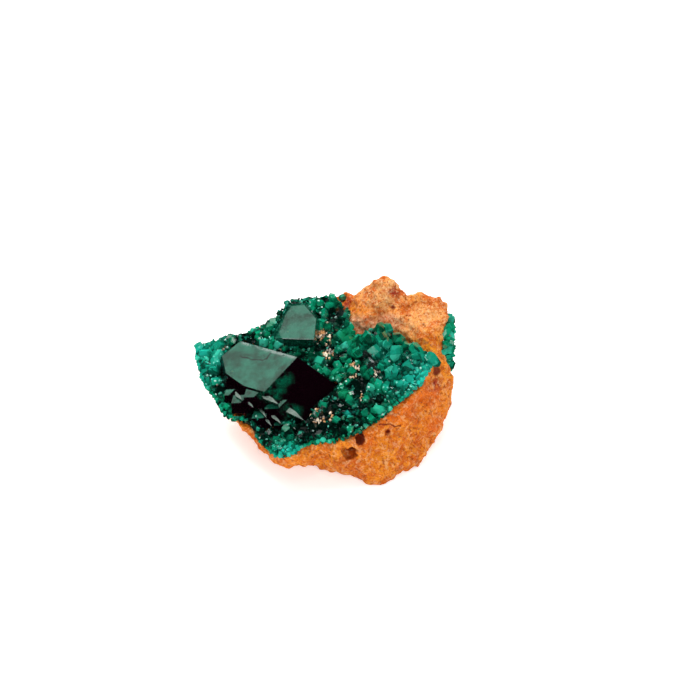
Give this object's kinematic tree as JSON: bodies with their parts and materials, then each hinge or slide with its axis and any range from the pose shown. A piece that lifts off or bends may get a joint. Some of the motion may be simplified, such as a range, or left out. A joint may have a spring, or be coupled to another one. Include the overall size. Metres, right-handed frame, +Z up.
{
  "type": "dioptase crystals on limonitic rock",
  "caption": "Natural dioptase specimen: a crust of small emerald crystals with large stubby ones, grown on an orange granular limonitic rock that rests on a flat base.",
  "frame": {"origin": "centre of the bounding box in plan, at the height of the flat base the specimen rests on", "axes": "+Z up, +X to the right along the specimen's width, +Y to the rear, away from the side that the picture shows"},
  "size_m": [0.0361, 0.0267, 0.0175],
  "materials": {
    "limonitic_rock": "granular, matt, orange-tan with dark red-brown pits and paler pinkish patches",
    "dioptase_druse": "glassy, see-through emerald to teal green",
    "dark_dioptase": "glassy, very deep emerald that is almost black where the crystal is thick, smooth shining faces",
    "grey_green_dioptase": "glassy, deep emerald under a grey-green sheen"
  },
  "bodies": {
    "root": {"matrix_rock": "limonitic_rock", "front_druse": "dioptase_druse", "main_crystal": "dark_dioptase", "upper_crystal": "grey_green_dioptase", "stray_crystal": "dioptase_druse", "side_druse": "dioptase_druse"}
  },
  "joints": []
}
